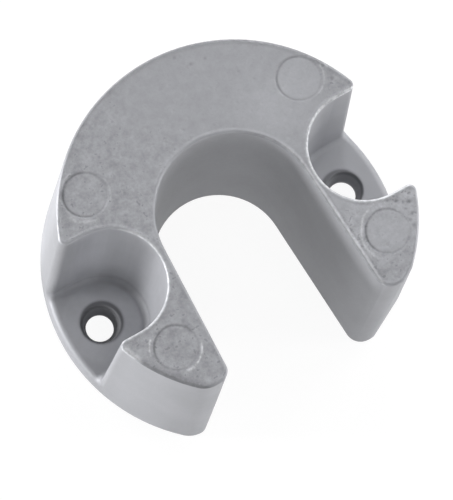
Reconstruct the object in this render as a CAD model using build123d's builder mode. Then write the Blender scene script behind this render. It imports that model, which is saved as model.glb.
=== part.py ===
from build123d import *
import os
from math import cos, radians, sin, sqrt, tan

# Sacrificial anode, one casting, in millimetres.
# A thick horseshoe that stands on its mounting face. Its slot clears a shaft and opens towards -Y.
# Two screw pockets sit left and right, at +X and -X.
# The origin is in the mounting face, midway between the screws, on the axis of the round rim.

# Overall
height = 48.0
outer_draft = 1.7

# Slot for the shaft: a round end, then straight sides that open a little towards the mouth.
# All its walls lean outwards to the top.
slot_top_width = 37.0
slot_centre_y = 0.6
slot_opening = 2.6
slot_draft = 3.4

# Thin neck of metal left between the slot and each pocket, at the top
neck_thickness = 1.8

# Screw pockets, each with a round end on the screw's axis and straight sides out through the rim
pocket_top_diameter = 25.2
pocket_draft = 1.6
pocket_floor_fillet = 1.6
pocket_rim_fillet = 1.6

# Flange under each pocket, with its screw hole
flange_thickness = 5.5
screw_edge_distance = 9.5
screw_hole_diameter = 6.6
screw_land_height = 1.5
screw_flare_diameter = 9.1
screw_rim_fillet = 0.4

# Arm tips, cut off across the mouth. The right one is rounded beside the slot, the left one at the rim.
tip_top_width = 6.2
right_tip_fillet = 3.8
left_tip_fillet = 6.0

# Upright flats across the other corner of each tip: the way each one faces, in degrees from +X,
# and how deep it cuts into that corner at the top
right_flat_angle = -62.0
right_flat_depth = 0.6
left_flat_angle = -52.0
left_flat_depth = 1.2
flat_edge_fillet = 2.4

# Cast edges
top_edge_fillet = 0.6
base_edge_fillet = 0.4

# Round marks of the ejector pins in the top face: a shallow disc inside a narrow groove
mark_diameter = 10.3
mark_depth = 0.15
mark_groove_width = 0.45
mark_groove_depth = 0.4
crown_mark_to_rim = 1.05
crown_mark_to_pocket = 2.9
arm_mark_to_rim = 1.85
arm_mark_to_pocket = 2.1

# How far the cutting shapes run past the faces they cut
overrun = 1.0

# The largest share that a rounded edge may take of a wall with an edge on its other side
wall_share = 0.35
tip_share = 0.65

# How closely a place must match for a face or an edge to be picked by it
match = 0.01

# Sizes worked out from the ones above, from the slot outwards
opening = radians(slot_opening)
lean = radians(slot_draft)
slot_top_radius = slot_top_width / 2
slot_side_at_screws = slot_top_radius / cos(opening) + slot_centre_y * tan(opening)
pocket_top_radius = pocket_top_diameter / 2
screw_offset = slot_side_at_screws + neck_thickness + pocket_top_radius
base_radius = screw_offset + screw_edge_distance
outer_taper_run = height * tan(radians(outer_draft))
top_radius = base_radius - outer_taper_run
tip_line = (slot_side_at_screws + tip_top_width) * cos(opening)
mouth_top = sqrt(top_radius**2 - tip_line**2) * cos(opening) - tip_line * sin(opening)
mouth_base = mouth_top + outer_taper_run
slot_side_at_mouth = slot_side_at_screws + mouth_top * tan(opening)
mark_radius = mark_diameter / 2
slot_bottom = -overrun
slot_top = height + overrun

# Rounded edges, held back where a wall is too thin for them
top_fillet = min(top_edge_fillet, wall_share * neck_thickness)
right_fillet = min(right_tip_fillet, tip_share * tip_top_width)
left_fillet = min(left_tip_fillet, tip_top_width)
flat_fillet = min(flat_edge_fillet, 2 * left_flat_depth)


def slot_radius(z):
    """Radius of the slot's round end at a height."""
    return slot_top_radius - (height - z) * tan(lean)


def pocket_radius(z):
    """Half a pocket's width at a height."""
    return pocket_top_radius - (height - z) * tan(radians(pocket_draft))


def pocket_section(side):
    """Upright section of a pocket's straight part, on its way out through the rim."""
    bottom = flange_thickness
    top = height + overrun
    outwards = Plane(origin=(side * screw_offset, 0, 0), x_dir=(0, side, 0), z_dir=(side, 0, 0))
    with BuildSketch(outwards) as section:
        with BuildLine():
            Polyline(
                (-pocket_radius(bottom), bottom),
                (pocket_radius(bottom), bottom),
                (pocket_radius(top), top),
                (-pocket_radius(top), top),
                close=True,
            )
        make_face()
    return section.sketch


def corner_flat(x, angle, depth):
    """Outline, in plan, of what an upright flat takes from a corner of an arm tip."""
    with BuildSketch(Plane.XY) as section:
        with Locations(Location((x, -mouth_top, 0), (0, 0, angle))):
            with Locations((-depth, 0)):
                Rectangle(tip_top_width, 4 * tip_top_width, align=(Align.MIN, Align.CENTER))
    return section.sketch


def mark_place(to_rim, to_pocket):
    """Where a mark sits beside a pocket: X, and how far from the X axis."""
    away = pocket_top_radius + to_pocket + mark_radius
    across = sqrt((top_radius - to_rim - mark_radius) ** 2 - away**2)
    return across, away


def edge_at(edge):
    """The casting's edge that lies where another edge was before its neighbours were rounded."""
    return anode_casting.edges().sort_by(lambda candidate: (candidate.center() - edge.center()).length)[0]


# Straight part of the slot: a block cut back to planes that touch the cone of the round end.
# They all pass through the cone's point, so the sides leave the round end without a step.
cone_point = (0, slot_centre_y, height - slot_top_radius / tan(lean))
with BuildPart() as slot_channel:
    with Locations((0, 0, slot_bottom)):
        Box(
            2 * base_radius,
            2 * base_radius,
            slot_top - slot_bottom,
            align=(Align.CENTER, Align.CENTER, Align.MIN),
        )
    for side in (1, -1):
        outwards = (side * cos(lean) * cos(opening), cos(lean) * sin(opening), -sin(lean))
        split(bisect_by=Plane(origin=cone_point, z_dir=outwards), keep=Keep.BOTTOM)
    inwards = (0, 1, -sin(opening) * tan(lean))
    split(bisect_by=Plane(origin=cone_point, z_dir=inwards), keep=Keep.BOTTOM)

with BuildPart() as anode_casting:
    # Drafted disc, flat across the mouth
    with BuildSketch(Plane.XY):
        Circle(base_radius)
        with Locations((0, -mouth_base)):
            Rectangle(2 * base_radius, base_radius, align=(Align.CENTER, Align.MAX), mode=Mode.SUBTRACT)
    extrude(amount=height, taper=outer_draft)

    # Slot
    with Locations((0, slot_centre_y, slot_bottom)):
        Cone(
            slot_radius(slot_bottom),
            slot_radius(slot_top),
            slot_top - slot_bottom,
            align=(Align.CENTER, Align.CENTER, Align.MIN),
            mode=Mode.SUBTRACT,
        )
    add(slot_channel.part, mode=Mode.SUBTRACT)

    # Arm tips: a flat across one corner of each, then every upright edge rounded
    right_corner = corner_flat(slot_side_at_mouth + tip_top_width, right_flat_angle, right_flat_depth)
    left_corner = corner_flat(-slot_side_at_mouth, left_flat_angle, left_flat_depth)
    extrude(right_corner, amount=height, mode=Mode.SUBTRACT)
    extrude(left_corner, amount=height, mode=Mode.SUBTRACT)
    tip_edges = anode_casting.edges().filter_by(
        lambda edge: edge.bounding_box().size.Z > height / 2 and edge.center().Y < -mouth_top / 2
    )
    left_rim_edge, *left_flat_edges, right_slot_edge, first, last = tip_edges.sort_by(Axis.X)
    fillet(left_rim_edge, left_fillet)
    fillet(edge_at(right_slot_edge), right_fillet)
    fillet([edge_at(edge) for edge in (*left_flat_edges, first, last)], flat_fillet)

    # Screw pockets
    for side in (1, -1):
        with Locations((side * screw_offset, 0, flange_thickness)):
            Cone(
                pocket_radius(flange_thickness),
                pocket_radius(height + overrun),
                height + overrun - flange_thickness,
                align=(Align.CENTER, Align.CENTER, Align.MIN),
                mode=Mode.SUBTRACT,
            )
        extrude(pocket_section(side), amount=base_radius, mode=Mode.SUBTRACT)

    # Round blend between each pocket's floor and its wall, which runs on along the straight sides
    floor_faces = anode_casting.faces().filter_by(
        lambda face: face.geom_type == GeomType.PLANE and abs(face.center().Z - flange_thickness) < match
    )
    round_ends = floor_faces.edges().filter_by(
        lambda edge: abs((edge @ 0.5).X) < screw_offset and edge.geom_type == GeomType.CIRCLE
    )
    fillet(round_ends, pocket_floor_fillet)

    # Round rim of each pocket, down one side of its mouth, along the flange and up the other
    flange_edges = anode_casting.edges().filter_by(
        lambda edge: abs((edge @ 0.5).Z - flange_thickness) < match
        and abs((edge @ 0.5).X) > base_radius - overrun
    )
    fillet(flange_edges, pocket_rim_fillet)

    # Screw holes: a short straight land at the mounting face, then a flare up to the flange
    for side in (1, -1):
        with Locations((side * screw_offset, 0, 0)):
            Cylinder(
                screw_hole_diameter / 2,
                screw_land_height,
                align=(Align.CENTER, Align.CENTER, Align.MIN),
                mode=Mode.SUBTRACT,
            )
        with Locations((side * screw_offset, 0, screw_land_height)):
            Cone(
                screw_hole_diameter / 2,
                screw_flare_diameter / 2,
                flange_thickness - screw_land_height,
                align=(Align.CENTER, Align.CENTER, Align.MIN),
                mode=Mode.SUBTRACT,
            )
    screw_rims = anode_casting.edges().filter_by(
        lambda edge: edge.geom_type == GeomType.CIRCLE
        and abs(edge.radius - screw_flare_diameter / 2) < match
        and abs(edge.center().Z - flange_thickness) < match
    )
    fillet(screw_rims, screw_rim_fillet)

    # Cast edges, rounded all round the top face and the mounting face
    top_face = anode_casting.faces().sort_by(Axis.Z)[-1]
    fillet(top_face.outer_wire().edges(), top_fillet)
    base_face = anode_casting.faces().sort_by(Axis.Z)[0]
    fillet(base_face.outer_wire().edges(), base_edge_fillet)

    # Ejector marks, two on the crown and two on the arms
    crown_x, crown_y = mark_place(crown_mark_to_rim, crown_mark_to_pocket)
    arm_x, arm_y = mark_place(arm_mark_to_rim, arm_mark_to_pocket)
    mark_places = [(crown_x, crown_y), (-crown_x, crown_y), (arm_x, -arm_y), (-arm_x, -arm_y)]
    with BuildSketch(Plane.XY.offset(height)):
        with Locations(*mark_places):
            Circle(mark_radius)
    extrude(amount=-mark_depth, mode=Mode.SUBTRACT)
    with BuildSketch(Plane.XY.offset(height)):
        with Locations(*mark_places):
            Circle(mark_radius)
            Circle(mark_radius - mark_groove_width, mode=Mode.SUBTRACT)
    extrude(amount=-mark_groove_depth, mode=Mode.SUBTRACT)

anode_casting.part.label = "anode_casting"
os.makedirs("parts", exist_ok=True)
export_step(anode_casting.part, "parts/anode_casting.step")
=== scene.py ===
import random
from math import ceil, cos, pi, radians, sin, tan

import bpy
import numpy as np
from mathutils import Matrix, Vector, noise
from mathutils.geometry import delaunay_2d_cdt
from mathutils.kdtree import KDTree


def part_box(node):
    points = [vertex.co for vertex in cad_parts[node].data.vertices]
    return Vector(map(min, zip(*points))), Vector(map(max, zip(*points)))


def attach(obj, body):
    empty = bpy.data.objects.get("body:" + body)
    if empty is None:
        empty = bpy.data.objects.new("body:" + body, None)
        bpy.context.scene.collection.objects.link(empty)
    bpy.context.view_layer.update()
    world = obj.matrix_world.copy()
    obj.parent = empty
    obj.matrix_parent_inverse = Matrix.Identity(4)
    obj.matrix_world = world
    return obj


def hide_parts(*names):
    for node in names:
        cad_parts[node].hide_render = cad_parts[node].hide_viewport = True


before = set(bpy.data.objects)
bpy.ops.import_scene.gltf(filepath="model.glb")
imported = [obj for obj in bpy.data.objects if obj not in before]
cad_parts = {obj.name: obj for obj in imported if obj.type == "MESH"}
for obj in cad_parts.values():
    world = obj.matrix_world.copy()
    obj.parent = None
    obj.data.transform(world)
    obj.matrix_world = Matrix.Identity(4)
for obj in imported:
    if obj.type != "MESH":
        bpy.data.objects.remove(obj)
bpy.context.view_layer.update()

MM = 0.001
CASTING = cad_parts["anode_casting"]
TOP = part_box("anode_casting")[1].z / MM

# Camera: looks down steeply, turned and rolled as in the photograph
CAMERA_TILT = radians(14.06)
CAMERA_HEADING = radians(220.75)
CAMERA_ROLL = radians(-28.79)
CAMERA_DISTANCE = 1.17315
CAMERA_LENS = 360.0
CAMERA_NEAR, CAMERA_FAR = 0.05, 20.0
SENSOR_WIDTH = 36.0
AIM_RIGHT = 1.267 * MM
AIM_UP = 2.913 * MM

# Sizes of the casting in millimetres, as its source has them, with its outlines as they are at the top
RIM_RADIUS = 41.02
SCREW_OFFSET = 32.946
POCKET_RADIUS = 12.6
SLOT_RADIUS = 18.5
SLOT_CENTRE_Y = 0.6
SLOT_OPENING = radians(2.6)
EDGE_ROUND = 0.6
FLANGE = 5.5
MARK_RADIUS = 5.15
MARK_GROOVE_DEPTH = 0.4

# Place of each ejector mark, and how strongly it shows
MARKS = {
    "crown_right": (28.04, 20.65, 1.0),
    "crown_left": (-28.04, 20.65, 1.6),
    "arm_right": (27.63, -19.85, 1.4),
    "arm_left": (-27.63, -19.85, 1.4),
}

# How far a corner may lie off the top, or outside or under a mark, and still belong to it
LEVEL_SLACK = 1e-3
MARK_SLACK = 0.1
GROOVE_SLACK = 0.05

# Points of the cast skin: their step, and shares of it for their random shift and their room to the outline
SKIN_STEP = 0.27
SKIN_SHIFT = 0.12
SKIN_ROOM = 0.6
SKIN_SEED = 7

# Longest edge that the skin's outline keeps, and twice the area of the largest sliver on it
LONGEST_EDGE = 1.1 * SKIN_STEP
SLIVER = 4e-4

# Closer rings of points over the edge of each mark: from ring to ring, along a ring, and to each side
RING_STEP = 0.13
RING_SPACING = 0.17
RING_REACH = 0.65

# Relief of the cast skin; bumps have a size, a height and a seed
BROAD_BUMPS = (5.0, 0.045, 1.0)
FINE_BUMPS = [(1.9, 0.034, 5.0), (0.9, 0.014, 9.0)]
CALM_GRAIN = 0.35
SKIN_SINK = 0.13
SKIN_EDGE = 0.65
MARK_SINK = 0.06
GROOVE_WIDTH = 0.30
TROUGH_DEPTH = 0.07

# Small pits: their number, seed, where they may lie, and their radius and depth
SMALL_PITS = 170
PIT_SEED = 41
PIT_X, PIT_Y = (-41, 41), (-32, 41)
PIT_RADIUS, PIT_DEPTH = (0.18, 0.42), (0.03, 0.09)

# How bright each edge is painted, from 0 for cast skin to 1 for bare metal: wear, and painted highlights
# where edges catch the light
EDGE_WEAR_AND_HIGHLIGHT = {
    "right_pocket": 0.50,
    "right_pocket_tip": 0.30,
    "left_pocket": 0.05,
    "left_neck_and_arm": 0.36,
    "slot": 0.03,
    "slot_right": 0.36,
    "left_rim": 0.18,
    "arm_corner": 0.42,
}
BRIGHT_EDGE_FULL, BRIGHT_EDGE_END = 0.4, 0.72

# How dark each part of the top is painted: oxide in the pits, and painted shade round the marks, along the
# rims and beside the slot
TOP_DARKENING = {
    "mark": 0.17,
    "mark_lit_side": 0.10,
    "arm_rim": 0.50,
    "arm_band": 0.24,
    "slot_edge": 0.36,
    "back_rim": 0.30,
    "pit_per_depth": 2.0,
}

# Painted light and shade: how much lighter or darker than plain metal each part is painted, for how the light
# falls on it: lighter on the walls toward the key light on the left and on a patch of the crown, darker in
# the slot and at some ends
PAINTED_LIGHT = {
    "left_arm_wall": 0.08,
    "left_wall": 0.12,
    "mouth_wall": -0.12,
    "left_pocket": 0.13,
    "left_pocket_neck": -0.12,
    "slot_wall": -0.15,
    "right_arm": 0.09,
    "right_arm_end": -0.14,
    "left_arm": -0.02,
    "crown_tip": -0.08,
    "crown_patch": 0.13,
    "crown_right_mark": 0.07,
}

# Colours of the metal
SKIN_DARK = (0.262, 0.266, 0.283, 1)
SKIN_PALE = (0.472, 0.478, 0.506, 1)
SPECK = (0.17, 0.173, 0.185, 1)
WALL_DARK = (0.355, 0.360, 0.382, 1)
WALL_PALE = (0.385, 0.390, 0.414, 1)
STREAK = (0.46, 0.465, 0.49, 1)
# Dark oxide, also used for painted shade
OXIDE_AND_SHADE = (0.085, 0.086, 0.091, 1)
# Bare metal, also used for painted highlights on the edges
BARE_AND_HIGHLIGHT = (0.84, 0.85, 0.87, 1)

# Painted shade in a screw hole lies a little inward and to the back of the screw's axis, and reaches past the
# flare
HOLE_SHADE_INWARD = 0.4
HOLE_SHADE_BACK = 0.3
HOLE_SHADE_REACH = 4.7

# Floor: half its width, how far it lies under the casting, its glow, and the glow's share where it is seen
FLOOR_HALF = 3.0
FLOOR_DROP = -0.0002
FLOOR_GLOW = 1.08
GLOW_SHARE = 0.85

# Lamps: turn from the camera's right, height over the floor, and power. The key is low on the left.
LAMPS = [
    (180, 7, 12.2), (135, 7, 3.8), (225, 7, 2.2), (0, 7, 3.2), (90, 7, 1.4), (45, 7, 1.0),
    (270, 7, 0.9), (315, 7, 0.8), (0, 22, 3.0), (90, 22, 2.7), (135, 22, 2.0), (270, 22, 1.1),
    (225, 22, 0.8), (180, 22, 0.7), (45, 22, 0.5), (45, 45, 2.2), (90, 45, 0.5), (315, 45, 0.5),
    (0, 88, 1.5),
]

# Size and distance of a lamp: those under a height in degrees are smaller and further off, clear of the floor
LOW_LAMP = 10
LOW_LAMP_FORM = (0.28, 1.2)
HIGH_LAMP_FORM = (0.5, 1.0)

# Soft shading in degrees: where the left arm's rim rounds into its tip, and how far the normals turn
TIP_START, TIP_END = 205, 232
TIP_WALL_BLEND = (213, 227)
TIP_ROUND_BLEND = (231.5, 227)
TIP_WALL_TURN = 9.5
TIP_ROUND_TURN = 4.0
TIP_LEAN = (-6, 2.5)
TIP_FACING_END = 275

# Where the left pocket's mouth lies, the ways its round faces, and how far it turns over a quarter
MOUTH_X_END = -36
MOUTH_Y = (11, 14.5)
MOUTH_FACING = (180, 275)
MOUTH_TURN = -8

# How far inside the rim its wall may start, and how much the normal of a wall may rise
RIM_BAND = 0.7
WALL_RISE = 0.9


def camera_axes():
    """Right, up and back directions of the camera."""
    back = Vector((
        sin(CAMERA_TILT) * cos(CAMERA_HEADING),
        sin(CAMERA_TILT) * sin(CAMERA_HEADING),
        cos(CAMERA_TILT),
    ))
    level_right = Vector((1, 0, 0))
    level_right = (level_right - level_right.dot(back) * back).normalized()
    level_up = back.cross(level_right)
    right = cos(CAMERA_ROLL) * level_right + sin(CAMERA_ROLL) * level_up
    up = cos(CAMERA_ROLL) * level_up - sin(CAMERA_ROLL) * level_right
    return right, up, back


def add_camera():
    right, up, back = camera_axes()
    place = CAMERA_DISTANCE * back + AIM_RIGHT * right + AIM_UP * up
    data = bpy.data.cameras.new("camera")
    data.lens = CAMERA_LENS
    data.sensor_width = SENSOR_WIDTH
    data.clip_start = CAMERA_NEAR
    data.clip_end = CAMERA_FAR
    camera = bpy.data.objects.new("camera", data)
    camera.matrix_world = Matrix.Translation(place) @ Matrix((right, up, back)).transposed().to_4x4()
    bpy.context.scene.collection.objects.link(camera)
    bpy.context.scene.camera = camera


def smooth_step(low, high, value):
    share = np.clip((value - low) / (high - low), 0, 1)
    return share * share * (3 - 2 * share)


def window(start, full, fade, end, value):
    """Share that rises from start to full, and falls again from fade to end."""
    return smooth_step(start, full, value) * smooth_step(end, fade, value)


def bell(distance, width):
    return np.exp(-((distance / width) ** 2))


def turn_about_axis(x, y):
    return np.degrees(np.arctan2(y, x)) % 360


def distance_to_pocket(x, y):
    across = np.abs(x)
    return np.where(
        across < SCREW_OFFSET,
        np.abs(np.hypot(across - SCREW_OFFSET, y) - POCKET_RADIUS),
        np.abs(np.abs(y) - POCKET_RADIUS),
    )


def distance_to_slot(x, y):
    behind = y - SLOT_CENTRE_Y
    side = SLOT_RADIUS / cos(SLOT_OPENING) - behind * tan(SLOT_OPENING)
    return np.where(
        behind > 0,
        np.abs(np.hypot(x, behind) - SLOT_RADIUS),
        np.abs(np.abs(x) - side) * cos(SLOT_OPENING),
    )


def distance_to_rim(x, y):
    return np.abs(np.hypot(x, y) - RIM_RADIUS)


def distance_to_line(x, y, line):
    """How far each point lies from a line of several straight runs."""
    nearest = np.full(len(x), np.inf)
    for (ax, ay), (bx, by) in zip(line, line[1:]):
        run = np.hypot(bx - ax, by - ay)
        along = np.clip(((x - ax) * (bx - ax) + (y - ay) * (by - ay)) / run**2, 0, 1)
        nearest = np.minimum(nearest, np.hypot(x - ax - along * (bx - ax), y - ay - along * (by - ay)))
    return nearest


def arc_round_mark(mark, start, end, radius, steps=12):
    """Points of an arc round a mark, from one angle to another in degrees."""
    centre_x, centre_y, _ = MARKS[mark]
    turns = [radians(start + (end - start) * step / steps) for step in range(steps + 1)]
    return [(centre_x + radius * cos(turn), centre_y + radius * sin(turn)) for turn in turns]


def rough(x, y, size, seed):
    """Smooth random height between about -1 and 1, with bumps of one size."""
    return np.array([noise.noise(Vector((u / size, v / size, seed))) for u, v in zip(x, y)])


def bumps(x, y, size, height, seed):
    return height * rough(x, y, size, seed)


# Thin flash round the ejector marks: line, half its width, its height, and how bright it is painted, as
# rubbed metal and as a painted highlight on the raised flash
FLASH = [
    (arc_round_mark("arm_left", 134, 168, 6.05), 0.22, 0.20, 0.90),
    (arc_round_mark("arm_left", -72, -14, 5.80), 0.22, 0.20, 0.95),
    (arc_round_mark("arm_left", -92, -78, 5.90), 0.30, 0.22, 1.00),
    (arc_round_mark("crown_right", -66, 4, 5.75), 0.20, 0.12, 0.30),
    (arc_round_mark("crown_left", -150, -92, 6.35), 0.50, 0.09, 0.30),
    (arc_round_mark("crown_left", -40, 12, 5.75), 0.22, 0.10, 0.22),
    (arc_round_mark("crown_left", 95, 165, 5.85), 0.22, 0.10, 0.22),
    (
        [(29.0, -12.8), (26.6, -13.3), (24.9, -14.1), (23.4, -15.4), (22.2, -17.2), (21.6, -18.8)],
        0.28, 0.17, 0.40,
    ),
    ([(21.6, -18.8), (21.2, -20.6), (21.6, -22.4), (22.4, -24.4)], 0.26, 0.12, 0.28),
    ([(35.1, 20.1), (35.6, 20.5)], 0.32, 0.20, 0.60),
]

# Larger pits in the skin: place, radius and depth
PITS = [
    (32.75, -14.75, 0.45, 0.22), (33.4, -20.1, 0.35, 0.12), (20.4, -27.6, 0.40, 0.16),
    (-19.7, 23.6, 0.40, 0.10), (-21.0, 26.7, 0.35, 0.08), (-19.9, 16.5, 0.35, 0.09),
    (-21.5, 17.7, 0.35, 0.09), (-22.4, 12.1, 0.45, 0.10), (8.1, 35.4, 0.40, 0.10),
    (11.6, 35.1, 0.35, 0.09), (5.6, 38.6, 0.40, 0.10), (34.6, 17.0, 0.45, 0.14),
    (31.3, -26.0, 0.35, 0.10), (24.5, -26.6, 0.40, 0.08), (-35.3, -15.7, 0.30, 0.10),
    (35.4, -16.3, 0.42, 0.20), (34.1, -15.8, 0.34, 0.15), (34.6, -19.0, 0.40, 0.16),
    (33.6, -21.8, 0.36, 0.14), (31.0, -13.6, 0.34, 0.14), (36.2, -14.6, 0.36, 0.14),
    (33.9, -17.4, 0.30, 0.13), (35.9, -18.0, 0.30, 0.12), (30.1, -26.9, 0.36, 0.12),
]

# Corner of the left arm painted bright as bare metal: a painted highlight where the round corner catches the
# light
BRIGHT_CORNER = [(-37.9, -14.6), (-37.3, -16.4), (-36.6, -18.0)]


def small_pits():
    """Pits all over the skin, each with its place, radius and depth."""
    draw = random.Random(PIT_SEED)
    ranges = (PIT_X, PIT_Y, PIT_RADIUS, PIT_DEPTH)
    return [tuple(draw.uniform(*limits) for limits in ranges) for _ in range(SMALL_PITS)]


def nearest_mark(x, y):
    """Distance from the nearest mark's centre, how far round to its lit side (-1 to 1), and its strength."""
    right, _, _ = camera_axes()
    distance, lit_side, strength = np.full(len(x), np.inf), np.zeros(len(x)), np.zeros(len(x))
    for centre_x, centre_y, mark_strength in MARKS.values():
        away = np.hypot(x - centre_x, y - centre_y)
        side = -((x - centre_x) * right.x + (y - centre_y) * right.y) / np.maximum(away, 1e-6)
        lit_side = np.where(away < distance, side, lit_side)
        strength = np.where(away < distance, mark_strength, strength)
        distance = np.minimum(distance, away)
    return distance, lit_side, strength


def in_left_arm(x, y):
    return smooth_step(-12, -16, y) * smooth_step(-15, -18, x)


def in_right_arm(x, y):
    return smooth_step(-8, -13, y) * smooth_step(14, 18, x)


def in_crown_tip(x, y):
    return smooth_step(31, 34, x) * smooth_step(8, 12, y)


def grain_share(x, y):
    """How rough the skin is: calm over the crown's middle and right, coarse on the left and on both arms."""
    coarse = smooth_step(12, -16, x + 0.35 * y + bumps(x, y, 9.0, 6.0, 2.0))
    coarse = np.maximum(coarse, np.maximum(in_right_arm(x, y), in_crown_tip(x, y)))
    from_mark, _, _ = nearest_mark(x, y)
    calm_disc = smooth_step(MARK_RADIUS, MARK_RADIUS - 0.6, from_mark) * smooth_step(0, 5, x)
    return CALM_GRAIN + (1 - CALM_GRAIN) * coarse * (1 - 0.7 * calm_disc)


def flash_share(x, y, spread):
    """Height and brightness of each line of flash, and its share at each point, uneven along its length."""
    uneven = np.clip(0.72 + bumps(x, y, 2.4, 0.6, 14.0) + bumps(x, y, 0.8, 0.6, 15.0), 0, 1)
    return [
        (rise, shine, uneven * bell(distance_to_line(x, y, line), spread * half_width))
        for line, half_width, rise, shine in FLASH
    ]


def skin_height(x, y, to_edge):
    """Height of the cast skin over the flat that it covers, never above it."""
    relief = bumps(x, y, *BROAD_BUMPS)
    relief += grain_share(x, y) * sum(bumps(x, y, *layer) for layer in FINE_BUMPS)

    # The marks are sunk a little, with a soft groove that is deeper on their lit side
    from_mark, lit_side, strength = nearest_mark(x, y)
    on_disc = smooth_step(MARK_RADIUS + GROOVE_WIDTH, MARK_RADIUS - GROOVE_WIDTH, from_mark)
    relief *= 1 - 0.35 * on_disc
    groove = strength * np.maximum(0.075 + 0.055 * lit_side + bumps(x, y, 3.5, 0.05, 3.0), 0.02)
    relief -= MARK_SINK * strength * on_disc + groove * bell(from_mark - MARK_RADIUS, GROOVE_WIDTH)

    for pit_x, pit_y, radius, depth in PITS + small_pits():
        relief -= depth * bell(np.hypot(x - pit_x, y - pit_y), radius)
    for rise, _, share in flash_share(x, y, 1.0):
        relief += rise * share

    # The skin rolls gently over the rim of the left arm, and has a narrow trough beside the slot's right edge
    rolled = in_left_arm(x, y) * smooth_step(3.2, 0.2, distance_to_rim(x, y) - EDGE_ROUND)
    beside_slot = smooth_step(12, 15, x) * smooth_step(8, 3, y)
    relief -= TROUGH_DEPTH * beside_slot * bell(distance_to_slot(x, y) - EDGE_ROUND - 0.40, 0.28)
    height = np.minimum(relief * (1 - 0.75 * rolled) - SKIN_SINK * (1 - rolled), 0.0)
    return height * smooth_step(0.0, SKIN_EDGE, to_edge)


def inside(points, start, end, at_once=4000):
    """Which points lie inside the closed outlines that the edges form."""
    result = np.zeros(len(points), bool)
    rise = end[:, 1] - start[:, 1]
    slope = (end[:, 0] - start[:, 0]) / np.where(rise == 0, 1, rise)
    for first in range(0, len(points), at_once):
        x, y = points[first : first + at_once].T
        spans = (start[:, 1, None] > y) != (end[:, 1, None] > y)
        crossing = start[:, 0, None] + (y - start[:, 1, None]) * slope[:, None]
        result[first : first + at_once] = (spans & (x < crossing)).sum(0) % 2 == 1
    return result


def mark_rings(mark):
    """Points of close rings on both sides of a mark's edge."""
    centre_x, centre_y, _ = mark
    rings = []
    for number in range(round(2 * RING_REACH / RING_STEP) + 1):
        radius = MARK_RADIUS - RING_REACH + number * RING_STEP
        step = RING_SPACING / radius
        turns = np.arange(round(2 * pi / step)) * step + 0.5 * (number % 2) * step
        rings.append(np.column_stack([centre_x + radius * np.cos(turns), centre_y + radius * np.sin(turns)]))
    return np.vstack(rings)


def skin_grid(start, end):
    """Points of the skin inside the outline that the edges form, and how far each lies from it."""
    tree = KDTree(2 * len(start))
    for index, (u, v) in enumerate(zip(start, end)):
        tree.insert((*u, 0), 2 * index)
        tree.insert((*((u + v) / 2), 0), 2 * index + 1)
    tree.balance()

    low, high = start.min(0), start.max(0)
    rows = np.arange(low[1], high[1], SKIN_STEP * sin(pi / 3))
    columns = np.arange(low[0], high[0], SKIN_STEP)
    draw = np.random.RandomState(SKIN_SEED)
    grid = np.array([(x + SKIN_STEP / 2 * (row % 2), y) for row, y in enumerate(rows) for x in columns])
    grid += draw.uniform(-SKIN_SHIFT, SKIN_SHIFT, grid.shape) * SKIN_STEP
    from_edge = np.abs(nearest_mark(*grid.T)[0] - MARK_RADIUS)
    grid = np.vstack([grid[from_edge > RING_REACH + 0.5 * RING_STEP], *map(mark_rings, MARKS.values())])
    grid = grid[inside(grid, start, end)]
    clear = np.array([tree.find((x, y, 0))[2] for x, y in grid])
    kept = clear > SKIN_ROOM * SKIN_STEP
    return grid[kept], clear[kept]


def flat_triangles(points, edges, start, end):
    """Triangles between points of a plane, all facing up, inside the outline, and twice the area of each."""
    flat = [Vector(point) for point in points]
    places, _, faces, sources, _, _ = delaunay_2d_cdt(flat, edges, [], 0, 1e-6)
    plan = np.array([tuple(point) for point in places])
    faces = np.array(faces)
    faces = faces[inside(plan[faces].mean(1), start, end)]
    twice_area = np.cross(plan[faces[:, 1]] - plan[faces[:, 0]], plan[faces[:, 2]] - plan[faces[:, 0]])
    faces[twice_area < 0] = faces[twice_area < 0][:, ::-1]
    return np.array([source[0] for source in sources])[faces], np.abs(twice_area)


def cad_triangles():
    """The casting's welded points in millimetres, its triangles, and the normals of their corners."""
    mesh = CASTING.data
    places = np.empty(len(mesh.vertices) * 3, np.float32)
    mesh.vertices.foreach_get("co", places)
    corners = np.empty(len(mesh.loops), np.int32)
    mesh.loops.foreach_get("vertex_index", corners)
    normals = np.empty(len(mesh.loops) * 3, np.float32)
    mesh.corner_normals.foreach_get("vector", normals)
    places = np.round(places.reshape(-1, 3).astype(float) / MM, 4)
    welded, index = np.unique(places, axis=0, return_inverse=True)
    triangles = index.reshape(-1)[corners].reshape(-1, 3)
    normals = normals.reshape(-1, 3, 3).astype(float)
    whole = (triangles != np.roll(triangles, -1, axis=1)).all(1)
    return welded, triangles[whole], normals[whole]


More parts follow.
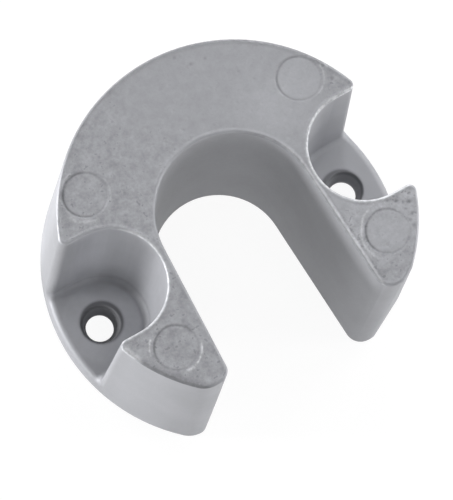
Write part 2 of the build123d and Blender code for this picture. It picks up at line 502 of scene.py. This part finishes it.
def soft_corners(places, normals):
    """Turns the shading gently into the round tip of the left arm, and out at the left pocket's mouth."""
    x, y = places[..., 0], places[..., 1]
    turn = turn_about_axis(x, y)
    facing = turn_about_axis(normals[..., 0], normals[..., 1])
    extra = np.zeros(x.shape)

    # Left arm: the wall along the rim, which faces straight out, then the round of the tip, which leans away
    on_rim = (np.hypot(x, y) > RIM_RADIUS - RIM_BAND) & (turn > TIP_START) & (turn < TIP_END)
    lean = facing - turn
    wall = on_rim & (lean > TIP_LEAN[0]) & (lean < TIP_LEAN[1])
    tip = on_rim & (lean >= TIP_LEAN[1]) & (facing < TIP_FACING_END)
    extra = np.where(wall, TIP_WALL_TURN * smooth_step(*TIP_WALL_BLEND, turn), extra)
    extra = np.where(tip, TIP_ROUND_TURN * smooth_step(*TIP_ROUND_BLEND, turn), extra)

    # Left pocket: the round between its back wall and the rim
    mouth = (x < MOUTH_X_END) & (y > MOUTH_Y[0]) & (y < MOUTH_Y[1])
    mouth &= (facing > MOUTH_FACING[0]) & (facing < MOUTH_FACING[1])
    extra = np.where(mouth, MOUTH_TURN * (facing - MOUTH_FACING[0]) / 90, extra)

    extra = np.radians(np.where(np.abs(normals[..., 2]) < WALL_RISE, extra, 0.0))
    turned = normals.copy()
    turned[..., 0] = normals[..., 0] * np.cos(extra) - normals[..., 1] * np.sin(extra)
    turned[..., 1] = normals[..., 0] * np.sin(extra) + normals[..., 1] * np.cos(extra)
    return turned


class Casting:
    """The casting's mesh while it is made: points, triangles, and a normal for each triangle corner."""

    def __init__(self):
        points, triangles, normals = cad_triangles()
        self.points = [tuple(point) for point in points]
        self.skin = [0.0] * len(self.points)
        self.triangles = [tuple(triangle) for triangle in triangles]
        self.normals = [tuple(map(tuple, corner)) for corner in soft_corners(points[triangles], normals)]

    def top_triangles(self):
        """Indices of the triangles of the level top and of the marks in it."""
        corners = np.array(self.points)[np.array(self.triangles)]
        x, y, z = corners[..., 0], corners[..., 1], corners[..., 2]
        level = (np.abs(z - TOP) < LEVEL_SLACK).all(1)
        for centre_x, centre_y, _ in MARKS.values():
            near = np.hypot(x - centre_x, y - centre_y) < MARK_RADIUS + MARK_SLACK
            level |= (near & (z > TOP - MARK_GROOVE_DEPTH - GROOVE_SLACK)).all(1)
        return [int(index) for index in np.nonzero(level)[0]]

    def reskin(self):
        """Swaps the top's triangles for a fine skin that joins their neighbours all round."""
        taken = set(self.top_triangles())
        edges = []
        for index in sorted(taken):
            a, b, c = self.triangles[index]
            edges += [(a, b), (b, c), (c, a)]
        known = set(edges)
        rim = [edge for edge in edges if edge[::-1] not in known]
        keep = [index for index in range(len(self.triangles)) if index not in taken]
        self.triangles = [self.triangles[index] for index in keep]
        self.normals = [self.normals[index] for index in keep]

        owner = {}
        for index, (a, b, c) in enumerate(self.triangles):
            owner[(a, b)] = owner[(b, c)] = owner[(c, a)] = index
        self.fill([self.divide(edge, owner) for edge in rim])

    def divide(self, edge, owner):
        """Divides an edge of the skin and its neighbour's triangle, and gives the points from end to end."""
        start, end = (np.array(self.points[point]) for point in edge)
        parts = ceil(np.linalg.norm(end - start) / LONGEST_EDGE)
        if parts == 1:
            return list(edge)
        first = len(self.points)
        for step in range(1, parts):
            self.points.append(tuple(start + (end - start) * step / parts))
            self.skin.append(1.0)
        chain = [edge[0], *range(first, first + parts - 1), edge[1]]

        # The neighbour's triangle becomes a fan of slim ones round its far corner
        index = owner[edge[::-1]]
        turn = self.triangles[index].index(edge[1])
        order = [(turn + step) % 3 for step in range(3)]
        far = self.triangles[index][order[2]]
        normal_b, normal_a, normal_far = (np.array(self.normals[index][corner]) for corner in order)
        along = [normal_a + (normal_b - normal_a) * step / parts for step in range(parts + 1)]
        places = [index, *range(len(self.triangles), len(self.triangles) + parts - 1)]
        self.triangles += [None] * (parts - 1)
        self.normals += [None] * (parts - 1)
        for part, place in enumerate(places):
            b, a = chain[part + 1], chain[part]
            self.triangles[place] = (b, a, far)
            self.normals[place] = (along[part + 1], along[part], normal_far)
            owner[(b, a)] = owner[(a, far)] = owner[(far, b)] = place
        return chain

    def fill(self, chains):
        """Fills the outline of the top with a fine skin."""
        outline = sorted({point for chain in chains for point in chain})
        place = {point: index for index, point in enumerate(outline)}
        edges = [(place[a], place[b]) for chain in chains for a, b in zip(chain, chain[1:])]
        border = np.array([self.points[point][:2] for point in outline])
        start, end = border[[edge[0] for edge in edges]], border[[edge[1] for edge in edges]]

        grid, clear = skin_grid(start, end)
        faces, twice_area = flat_triangles(np.vstack([border, grid]), edges, start, end)
        heights = TOP + skin_height(grid[:, 0], grid[:, 1], clear)
        first = len(self.points)
        self.points += [(x, y, z) for (x, y), z in zip(grid, heights)]
        self.skin += [1.0] * len(grid)
        for point in outline:
            self.skin[point] = 1.0
        triangles = np.array(outline + list(range(first, first + len(grid))))[faces]

        # Slivers between points in a row on the outline are left out
        flat_sliver = (twice_area < SLIVER) & (triangles < first).all(1)
        triangles = triangles[~flat_sliver]
        normals = self.smooth_normals(triangles)
        normals[outline] = (0, 0, 1)
        self.triangles += [tuple(map(int, triangle)) for triangle in triangles]
        self.normals += [tuple(map(tuple, normals[triangle])) for triangle in triangles]

    def smooth_normals(self, triangles):
        """Mean normal of the triangles round each point."""
        points = np.array(self.points)
        corners = points[triangles]
        facing = np.cross(corners[:, 1] - corners[:, 0], corners[:, 2] - corners[:, 0])
        total = np.zeros((len(points), 3))
        for corner in range(3):
            np.add.at(total, triangles[:, corner], facing)
        return total / (np.linalg.norm(total, axis=1, keepdims=True) + 1e-12)

    def wear_and_highlight(self):
        """How bright each point of the top and its edges is painted: wear, and painted highlights along edges
        and flash.
        """
        x, y, z = np.array(self.points).T
        pocket, slot, rim = distance_to_pocket(x, y), distance_to_slot(x, y), distance_to_rim(x, y)
        right_pocket = smooth_step(-5, 5, x)
        pocket_tip = smooth_step(30, 36, x) * smooth_step(4, 10, y)
        neck_and_arm = np.maximum(smooth_step(27, 22, np.abs(x)), smooth_step(-2, -8, y))
        wear_and_glint = np.maximum(
            right_pocket * (EDGE_WEAR_AND_HIGHLIGHT["right_pocket"] + EDGE_WEAR_AND_HIGHLIGHT["right_pocket_tip"] * pocket_tip),
            (1 - right_pocket) * np.maximum(EDGE_WEAR_AND_HIGHLIGHT["left_pocket"], EDGE_WEAR_AND_HIGHLIGHT["left_neck_and_arm"] * neck_and_arm),
        )
        wear_and_glint *= smooth_step(BRIGHT_EDGE_END, BRIGHT_EDGE_FULL, pocket)

        slot_right = smooth_step(10, 14, x) * smooth_step(12, 6, y) * bell(slot - EDGE_ROUND, 0.25)
        left_rim = smooth_step(-30, -36, x) * smooth_step(6, 10, y) * smooth_step(BRIGHT_EDGE_END, BRIGHT_EDGE_FULL, rim)
        corner = smooth_step(1.3, 0.4, distance_to_line(x, y, BRIGHT_CORNER))
        corner *= smooth_step(-0.6, 0.1, rough(x, y, 1.2, 6.0))
        wear_and_glint = np.maximum(wear_and_glint, EDGE_WEAR_AND_HIGHLIGHT["slot"] * smooth_step(BRIGHT_EDGE_END, BRIGHT_EDGE_FULL, slot))
        wear_and_glint = np.maximum(wear_and_glint, EDGE_WEAR_AND_HIGHLIGHT["slot_right"] * slot_right)
        wear_and_glint = np.maximum(wear_and_glint, EDGE_WEAR_AND_HIGHLIGHT["left_rim"] * left_rim)
        wear_and_glint = np.maximum(wear_and_glint, EDGE_WEAR_AND_HIGHLIGHT["arm_corner"] * corner)
        for _, shine, share in flash_share(x, y, 0.9):
            wear_and_glint = np.maximum(wear_and_glint, shine * share)
        return np.where(z > TOP - 1.0, wear_and_glint, 0.0)

    def top_shade_and_oxide(self):
        """Dark oxide in the pits, and painted shade on the top: round the marks, along the rims and at the
        slot's right edge.
        """
        x, y, z = np.array(self.points).T
        from_mark, lit_side, strength = nearest_mark(x, y)
        rim = distance_to_rim(x, y)
        # Painted shade in the groove round each mark, more on its side toward the key light
        ring = strength * (TOP_DARKENING["mark"] + TOP_DARKENING["mark_lit_side"] * lit_side)
        ring *= bell(from_mark - MARK_RADIUS, 0.34)
        # Painted shade in a band just inside the left arm's rim, fading near the bright corner
        arm = np.maximum(
            TOP_DARKENING["arm_rim"] * smooth_step(0.95, 0.50, rim),
            TOP_DARKENING["arm_band"] * smooth_step(2.2, 0.8, rim),
        )
        arm *= in_left_arm(x, y) * smooth_step(0.9, 2.2, distance_to_line(x, y, BRIGHT_CORNER))
        # Painted shade in a thin line beside the slot's right edge
        near_slot = smooth_step(0.62, 0.35, distance_to_slot(x, y))
        slot_edge = TOP_DARKENING["slot_edge"] * smooth_step(7, 14, x) * near_slot
        # Painted shade in a thin line along the back of the rim
        back_rim = TOP_DARKENING["back_rim"] * smooth_step(0.75, 0.45, rim)
        back_rim *= window(24, 40, 122, 140, turn_about_axis(x, y))
        spots = np.maximum(np.maximum(ring, arm), np.maximum(slot_edge, back_rim))
        for pit_x, pit_y, radius, depth in PITS:
            pit = bell(np.hypot(x - pit_x, y - pit_y), radius)
            spots = np.maximum(spots, TOP_DARKENING["pit_per_depth"] * depth * pit)
        return np.where(z > TOP - 1.0, spots, 0.0)

    def left_pocket_mask(self):
        """Where shade is painted towards the foot: in the left pocket."""
        x, y, z = np.array(self.points).T
        across = np.where(np.abs(x) < SCREW_OFFSET, np.hypot(np.abs(x) - SCREW_OFFSET, y), np.abs(y))
        in_pocket = (across < POCKET_RADIUS + 0.05) & (z > FLANGE - 0.1) & (z < TOP - 0.3)
        return np.where(in_pocket & (x < 0), 1.0, 0.0)

    def painted_light(self):
        """How light the metal is painted, as a factor, where parts of the casting differ: painted light and
        shade for how the light falls on each part.
        """
        x, y, z = np.array(self.points).T
        turn = turn_about_axis(x, y)
        wall = 1 + PAINTED_LIGHT["left_arm_wall"] * window(200, 204, 235, 245, turn)
        wall += PAINTED_LIGHT["left_wall"] * window(120, 140, 147, 153, turn)
        wall += PAINTED_LIGHT["mouth_wall"] * window(152, 156, 161, 165, turn)
        in_left_pocket = (np.hypot(x + SCREW_OFFSET, y) < POCKET_RADIUS + 0.1) & (z > FLANGE + 1)
        left_pocket = 1 + PAINTED_LIGHT["left_pocket"] + PAINTED_LIGHT["left_pocket_neck"] * smooth_step(-30, -24, x)
        wall = np.where(in_left_pocket, left_pocket, wall)
        behind = y - SLOT_CENTRE_Y
        across = np.where(behind > 0, np.hypot(x, behind), np.abs(x) + behind * tan(SLOT_OPENING))
        wall = np.where(across < SLOT_RADIUS + EDGE_ROUND + 0.3, 1 + PAINTED_LIGHT["slot_wall"], wall)

        centre_x, centre_y, _ = MARKS["crown_right"]
        from_mark = np.hypot(x - centre_x, y - centre_y)
        top = 1 + PAINTED_LIGHT["right_arm"] * smooth_step(12, 16, x) * smooth_step(4, -4, y)
        top += PAINTED_LIGHT["right_arm_end"] * in_right_arm(x, y) * smooth_step(-21, -28, y)
        top += PAINTED_LIGHT["left_arm"] * in_left_arm(x, y) + PAINTED_LIGHT["crown_tip"] * in_crown_tip(x, y)
        top += PAINTED_LIGHT["crown_patch"] * bell(np.hypot(x - 19.0, y - 18.5), 6.5)
        top += PAINTED_LIGHT["crown_right_mark"] * smooth_step(MARK_RADIUS + 0.1, MARK_RADIUS - 0.5, from_mark)
        return np.where(z > TOP - 0.45, top, wall)

    def build(self):
        """The mesh in metres, with a layer of values for each thing that its material shows."""
        used, triangles = np.unique(np.array(self.triangles), return_inverse=True)
        self.points = [self.points[index] for index in used]
        self.skin = [self.skin[index] for index in used]
        points = np.array(self.points)
        mesh = bpy.data.meshes.new("cast_anode")
        mesh.from_pydata(points * MM, [], triangles.reshape(-1, 3).tolist())
        mesh.polygons.foreach_set("use_smooth", [True] * len(mesh.polygons))
        mesh.normals_split_custom_set(np.array(self.normals).reshape(-1, 3))
        layers = {
            "skin": np.array(self.skin),
            "coarse": grain_share(points[:, 0], points[:, 1]),
            "wear_and_highlight": self.wear_and_highlight(),
            "top_shade_and_oxide": self.top_shade_and_oxide(),
            "shade_and_oxide": self.left_pocket_mask(),
            "painted_light": self.painted_light(),
        }
        for name, values in layers.items():
            layer = mesh.attributes.new(name, "FLOAT", "POINT")
            layer.data.foreach_set("value", values.astype(np.float32))
        mesh.update()
        return mesh


def add_casting():
    casting = Casting()
    casting.reskin()
    piece = bpy.data.objects.new("cast_anode", casting.build())
    bpy.context.scene.collection.objects.link(piece)
    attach(piece, "root")
    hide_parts("anode_casting")
    return piece


class Graph:
    """Short ways to add and join the nodes of a material."""

    def __init__(self, material):
        material.use_nodes = True
        self.tree = material.node_tree

    def add(self, kind, **settings):
        node = self.tree.nodes.new(kind)
        for name, value in settings.items():
            setattr(node, name, value)
        return node

    def set(self, socket, value):
        if isinstance(value, bpy.types.NodeSocket):
            self.tree.links.new(value, socket)
        else:
            socket.default_value = value

    def math(self, operation, *values, clamp=False):
        node = self.add("ShaderNodeMath", operation=operation, use_clamp=clamp)
        for socket, value in zip(node.inputs, values):
            self.set(socket, value)
        return node.outputs[0]

    def times(self, product, *factors):
        """Product of several values."""
        for factor in factors:
            product = self.math("MULTIPLY", product, factor)
        return product

    def add_times(self, base, value, factor, clamp=False):
        """The base, with a value times a factor added to it."""
        return self.math("MULTIPLY_ADD", value, factor, base, clamp=clamp)

    def spread(self, value, low, high, to_low=0.0, to_high=1.0, smooth=True):
        """Maps a value from one range to another, held at its ends."""
        node = self.add("ShaderNodeMapRange", interpolation_type="SMOOTHSTEP" if smooth else "LINEAR")
        for socket, amount in zip(node.inputs, (value, low, high, to_low, to_high)):
            self.set(socket, amount)
        return node.outputs[0]

    def spread_mm(self, length, low, high, to_low=0.0, to_high=1.0, smooth=True):
        """Maps a length from a range in millimetres."""
        return self.spread(length, low * MM, high * MM, to_low, to_high, smooth)

    def grain(self, place, size, detail, roughness=0.5):
        """Noise with bumps of a size in millimetres."""
        node = self.add("ShaderNodeTexNoise")
        self.set(node.inputs["Vector"], place)
        self.set(node.inputs["Scale"], 1 / (size * MM))
        self.set(node.inputs["Detail"], detail)
        self.set(node.inputs["Roughness"], roughness)
        return node.outputs["Fac"]

    def mix(self, share, first, second):
        node = self.add("ShaderNodeMix", data_type="RGBA")
        self.set(node.inputs["Factor"], share)
        self.set(node.inputs["A"], first)
        self.set(node.inputs["B"], second)
        return node.outputs["Result"]


def skin_colour(graph, place, fine, coarse):
    """Cast skin: blotched and specked, more so where it is coarse."""
    mottle = graph.add_times(-0.5, graph.grain(place, 2.2, 3.0, 0.6), 0.70)
    mottle = graph.add_times(mottle, fine, 0.30)
    contrast = graph.spread(coarse, CALM_GRAIN, 1.0, 0.65, 2.0, smooth=False)
    mottle = graph.add_times(0.5, mottle, contrast, clamp=True)
    speck = graph.spread(graph.grain(place, 1.1, 1.0), 0.64, 0.74)
    specks = graph.times(speck, graph.spread(coarse, CALM_GRAIN, 1.0, 0.12, 0.50, smooth=False))
    return graph.mix(specks, graph.mix(mottle, SKIN_DARK, SKIN_PALE), SPECK)


def wall_colour(graph, place, pocket):
    """Drafted walls: smooth, with faint clouds, and upright streaks in the left pocket."""
    cloud = graph.spread(graph.grain(place, 14.0, 2.0), 0.3, 0.7)
    drawn = graph.add("ShaderNodeMapping")
    graph.set(drawn.inputs["Vector"], place)
    drawn.inputs["Scale"].default_value = (1, 1, 0.05)
    streak = graph.spread(graph.grain(drawn.outputs[0], 1.4, 2.0), 0.35, 0.7, 0.0, 0.16)
    return graph.mix(graph.times(streak, pocket), graph.mix(cloud, WALL_DARK, WALL_PALE), STREAK)


def distance_from_screw(graph, across, along):
    """Distance from the middle of the nearer screw hole's painted shade, seen from above."""
    level = graph.add("ShaderNodeCombineXYZ")
    outward = graph.math("SUBTRACT", graph.math("ABSOLUTE", across), (SCREW_OFFSET - HOLE_SHADE_INWARD) * MM)
    graph.set(level.inputs[0], outward)
    graph.set(level.inputs[1], graph.math("SUBTRACT", along, HOLE_SHADE_BACK * MM))
    length = graph.add("ShaderNodeVectorMath", operation="LENGTH")
    graph.set(length.inputs[0], level.outputs[0])
    return length.outputs["Value"]


def shade_and_oxide_share(graph, place, axes, pocket, top_shade_and_oxide):
    """Painted shade in and round the screw holes and low down in the left pocket, and the top's oxide and
    painted shade.
    """
    across, along, up = axes
    from_screw = distance_from_screw(graph, across, along)

    # Screw holes: painted shade, darker in the left one, and darker on the flare of each than on its land
    in_hole = graph.times(
        graph.spread_mm(up, 0.2, 0.5),
        graph.spread_mm(across, -5, 5, 0.61, 0.37),
        graph.spread_mm(from_screw, HOLE_SHADE_REACH + 1.0, HOLE_SHADE_REACH),
        graph.spread_mm(up, FLANGE + 2.0, FLANGE + 0.2),
    )
    on_flare = graph.times(
        graph.spread_mm(from_screw, 5.3, 4.9),
        graph.spread_mm(up, 3.9, 4.9),
        graph.spread_mm(across, -5, 5, 0.40, 0.75),
    )
    in_hole = graph.add_times(in_hole, on_flare, in_hole, clamp=True)

    # Left pocket: painted shade, darker towards its foot, most of all on the side of the neck
    foot = graph.times(graph.spread_mm(up, 9.5, 6.5), 0.26)
    foot = graph.add_times(foot, graph.spread_mm(up, 44.0, 16.0, smooth=False), 0.10)
    low = graph.times(graph.spread_mm(up, 20.0, 6.5), 0.08)
    low = graph.add_times(low, foot, graph.spread_mm(across, -32.0, -25.0))
    corner = graph.times(pocket, low, graph.spread_mm(from_screw, 8.6, 10.2))

    patchy = graph.spread(graph.grain(place, 1.6, 2.0), 0.3, 0.6, 0.6, 1.1, smooth=False)
    shade_and_oxide = graph.math("MAXIMUM", corner, in_hole)
    return graph.math("MAXIMUM", shade_and_oxide, graph.times(top_shade_and_oxide, patchy))


def metal_material():
    material = bpy.data.materials.new("cast_metal")
    graph = Graph(material)
    shader = graph.tree.nodes["Principled BSDF"]
    place = graph.add("ShaderNodeTexCoord").outputs["Object"]
    axes = graph.add("ShaderNodeSeparateXYZ")
    graph.set(axes.inputs[0], place)
    skin, coarse, wear_and_highlight, top_shade_and_oxide, pocket, painted_light = (
        graph.add("ShaderNodeAttribute", attribute_name=name).outputs["Fac"]
        for name in ("skin", "coarse", "wear_and_highlight", "top_shade_and_oxide", "shade_and_oxide", "painted_light")
    )
    fine = graph.grain(place, 0.7, 1.5)
    at_top = graph.spread_mm(axes.outputs[2], TOP - 0.75, TOP - 0.45)

    # The plain colour is scaled by the painted light and shade of each part
    shade = graph.add("ShaderNodeVectorMath", operation="SCALE")
    plain = graph.mix(skin, wall_colour(graph, place, pocket), skin_colour(graph, place, fine, coarse))
    graph.set(shade.inputs[0], plain)
    graph.set(shade.inputs["Scale"], painted_light)
    # Painted shade in the holes, the left pocket and on the top, with oxide in the pits
    shade_and_oxide = shade_and_oxide_share(graph, place, axes.outputs, pocket, graph.times(top_shade_and_oxide, at_top))
    colour = graph.mix(shade_and_oxide, shade.outputs[0], OXIDE_AND_SHADE)

    # Worn edges and painted highlights: bright bare metal at the top of the walls, broken up by noise
    broken = graph.spread(graph.grain(place, 1.1, 3.0), 0.34, 0.62, 0.35, 1.1)
    wear_and_glint = graph.math("MULTIPLY", graph.times(wear_and_highlight, at_top), broken, clamp=True)
    graph.set(shader.inputs["Base Color"], graph.mix(wear_and_glint, colour, BARE_AND_HIGHLIGHT))
    metallic = graph.add_times(0.35, wear_and_glint, 0.4)
    graph.set(shader.inputs["Metallic"], graph.add_times(metallic, shade_and_oxide, -0.3, clamp=True))
    matte = graph.add_times(0.47, graph.grain(place, 0.8, 2.0), 0.16)
    matte = graph.add_times(matte, shade_and_oxide, 0.45)
    graph.set(shader.inputs["Roughness"], graph.add_times(matte, wear_and_glint, -0.15))

    bump = graph.add("ShaderNodeBump")
    graph.set(bump.inputs["Strength"], graph.add_times(0.06, graph.times(skin, coarse), 0.30))
    graph.set(bump.inputs["Distance"], 0.06 * MM)
    graph.set(bump.inputs["Height"], graph.math("ADD", fine, graph.grain(place, 0.35, 1.0)))
    graph.set(shader.inputs["Normal"], bump.outputs["Normal"])
    return material


def floor_material():
    """Pale and matt for the light that falls on it, and white to the camera and in reflections."""
    material = bpy.data.materials.new("floor")
    graph = Graph(material)
    graph.tree.nodes.clear()
    pale = graph.add("ShaderNodeBsdfDiffuse")
    pale.inputs["Color"].default_value = (0.8, 0.8, 0.8, 1)
    glow = graph.add("ShaderNodeEmission")
    glow.inputs["Strength"].default_value = FLOOR_GLOW
    seen = graph.add("ShaderNodeMixShader")
    seen.inputs[0].default_value = GLOW_SHARE
    graph.set(seen.inputs[1], pale.outputs[0])
    graph.set(seen.inputs[2], glow.outputs[0])
    path = graph.add("ShaderNodeLightPath")
    direct = graph.math("MAXIMUM", path.outputs["Is Camera Ray"], path.outputs["Is Glossy Ray"])
    direct = graph.math("MAXIMUM", direct, path.outputs["Is Transmission Ray"])
    out = graph.add("ShaderNodeMixShader")
    graph.set(out.inputs[0], direct)
    graph.set(out.inputs[1], pale.outputs[0])
    graph.set(out.inputs[2], seen.outputs[0])
    graph.set(graph.add("ShaderNodeOutputMaterial").inputs["Surface"], out.outputs[0])
    return material


def add_floor():
    mesh = bpy.data.meshes.new("floor")
    corners = [(-1, -1), (1, -1), (1, 1), (-1, 1)]
    mesh.from_pydata([(FLOOR_HALF * x, FLOOR_HALF * y, FLOOR_DROP) for x, y in corners], [], [(0, 1, 2, 3)])
    floor = bpy.data.objects.new("floor", mesh)
    bpy.context.scene.collection.objects.link(floor)
    mesh.materials.append(floor_material())


def add_lamps():
    right, _, _ = camera_axes()
    east = Vector((right.x, right.y, 0)).normalized()
    north = Vector((-east.y, east.x, 0))
    for turn, height, power in LAMPS:
        size, distance = LOW_LAMP_FORM if height < LOW_LAMP else HIGH_LAMP_FORM
        level = cos(radians(turn)) * east + sin(radians(turn)) * north
        direction = cos(radians(height)) * level + sin(radians(height)) * Vector((0, 0, 1))
        data = bpy.data.lights.new(f"lamp_{turn}_{height}", "AREA")
        data.shape = "DISK"
        data.size = size
        data.energy = power
        lamp = bpy.data.objects.new(data.name, data)
        lamp.location = direction * distance + Vector((0, 0, TOP * MM / 2))
        lamp.rotation_euler = direction.to_track_quat("Z", "Y").to_euler()
        bpy.context.scene.collection.objects.link(lamp)


def add_world():
    """White where the camera sees it, and hardly any light on the object."""
    world = bpy.data.worlds.new("world")
    bpy.context.scene.world = world
    graph = Graph(world)
    path = graph.add("ShaderNodeLightPath")
    seen = graph.math("MAXIMUM", path.outputs["Is Camera Ray"], path.outputs["Is Transmission Ray"])
    background = graph.tree.nodes["Background"]
    background.inputs["Color"].default_value = (1, 1, 1, 1)
    graph.set(background.inputs["Strength"], graph.spread(seen, 0.0, 1.0, 0.01, 1.0, smooth=False))


add_camera()
casting = add_casting()
metal = metal_material()
casting.data.materials.append(metal)
CASTING.data.materials.clear()
CASTING.data.materials.append(metal)
add_floor()
add_lamps()
add_world()
bpy.context.scene.view_settings.view_transform = "Standard"
